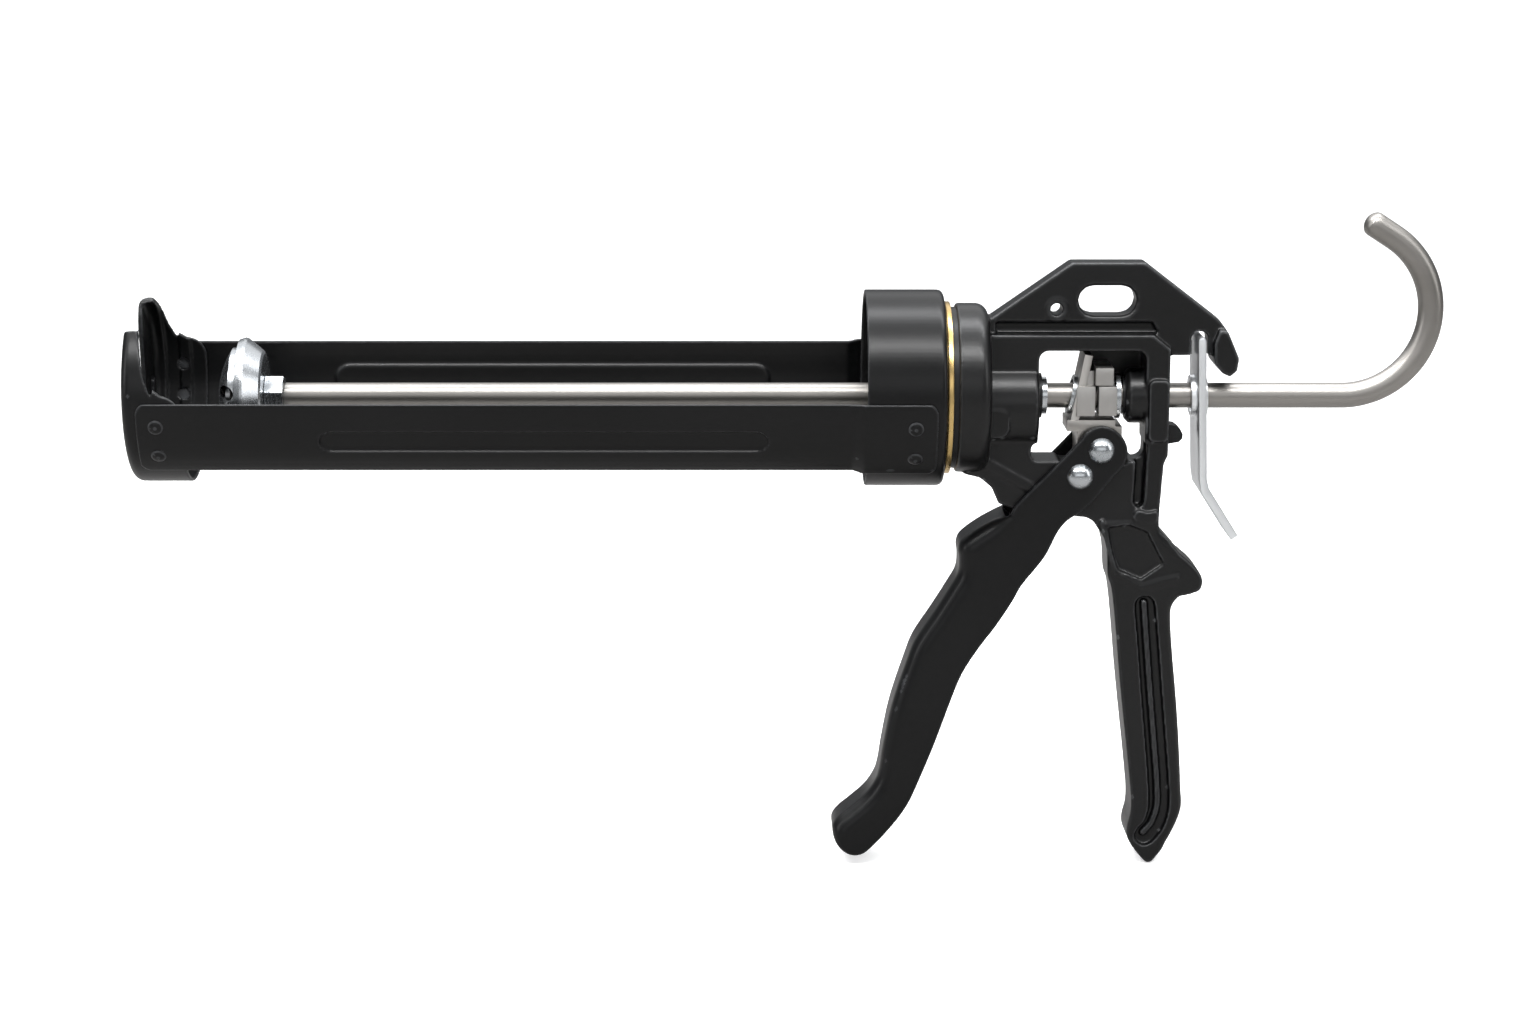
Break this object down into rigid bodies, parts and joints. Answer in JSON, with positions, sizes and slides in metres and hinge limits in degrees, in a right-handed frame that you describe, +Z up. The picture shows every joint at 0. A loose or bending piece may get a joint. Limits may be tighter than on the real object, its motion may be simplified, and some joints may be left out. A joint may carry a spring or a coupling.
{
  "type": "caulking gun",
  "caption": "Rotating-cradle caulking gun with an open half-barrel for one cartridge, smooth hooked push rod, squeeze trigger drive and thumb release.",
  "frame": {"origin": "centre of the nozzle slot on the cradle axis, at the front face of the cap", "axes": "+X runs back from the nozzle end to the rod hook, +Z is up with the gun level, -Y is the side shown in the picture"},
  "size_m": [0.3626, 0.057, 0.184],
  "materials": {
    "black_paint": "satin powder coat",
    "cast_black": "satin powder coat on a die casting",
    "black_plastic": "matte",
    "zinc": "bright bluish zinc plate",
    "brass": "satin",
    "bright_rod": "ground bar",
    "spring_steel": "oiled",
    "sintered_steel": "machined"
  },
  "bodies": {
    "frame": {"handle_casting": "cast_black", "front_bush": "black_plastic", "front_bush_ring": "zinc", "rear_bush": "black_plastic", "pivot_rivet": "zinc", "brass_ring": "brass", "thrust_washer": "black_plastic", "retaining_washer": "zinc", "circlip": "spring_steel", "lever_spring": "spring_steel", "lever_bumper": "black_plastic"},
    "cradle": {"rail_near": "black_paint", "rail_far": "black_paint", "front_cap": "black_paint", "rear_collar": "black_paint", "rivet_front_near_a": "black_paint", "rivet_front_near_b": "black_paint", "rivet_front_far_a": "black_paint", "rivet_front_far_b": "black_paint", "rivet_rear_near_a": "black_paint", "rivet_rear_near_b": "black_paint", "rivet_rear_far_a": "black_paint", "rivet_rear_far_b": "black_paint"},
    "plunger": {"plunger_dome": "zinc", "plunger_pan": "zinc"},
    "rod": {"push_rod": "bright_rod", "plunger_nut": "zinc", "nose_clip": "spring_steel"},
    "trigger": {"trigger": "black_paint", "link_rivet": "zinc", "trigger_spring": "spring_steel"},
    "driver": {"drive_yoke": "sintered_steel", "drive_plate_front": "sintered_steel", "drive_plate_rear": "sintered_steel", "drive_block": "sintered_steel", "dished_washer": "zinc", "rear_washer": "zinc"},
    "lever": {"release_lever": "zinc"}
  },
  "joints": [
    {"name": "cradle_spin", "type": "hinge", "parent": "frame", "child": "cradle", "pos_m": [0.21, 0, 0], "axis": [1, 0, 0], "continuous": true},
    {"name": "rod_slide", "type": "slide", "parent": "frame", "child": "plunger", "axis": [1, 0, 0], "range_m": [-0.011, 0.172]},
    {"name": "rod_spin", "type": "hinge", "parent": "plunger", "child": "rod", "pos_m": [0.04, 0, -0.0022], "axis": [1, 0, 0], "continuous": true},
    {"name": "trigger_squeeze", "type": "hinge", "parent": "frame", "child": "trigger", "pos_m": [0.262, 0, -0.0235], "axis": [0, -1, 0], "range_deg": [0, 35], "stiffness_Nm_per_rad": 0.25, "springref_deg": -34.38},
    {"name": "driver_slide", "type": "slide", "parent": "frame", "child": "driver", "axis": [-1, 0, 0], "range_m": [0, 0.0056]},
    {"name": "lever_press", "type": "hinge", "parent": "frame", "child": "lever", "pos_m": [0.2949, 0, 0.01395], "axis": [0, 1, 0], "range_deg": [0, 6.5], "stiffness_Nm_per_rad": 0.08, "springref_deg": -11.46}
  ],
  "couplings": [
    {"joint": "driver_slide", "follows": "trigger_squeeze", "m_per_rad": 0.00858}
  ]
}
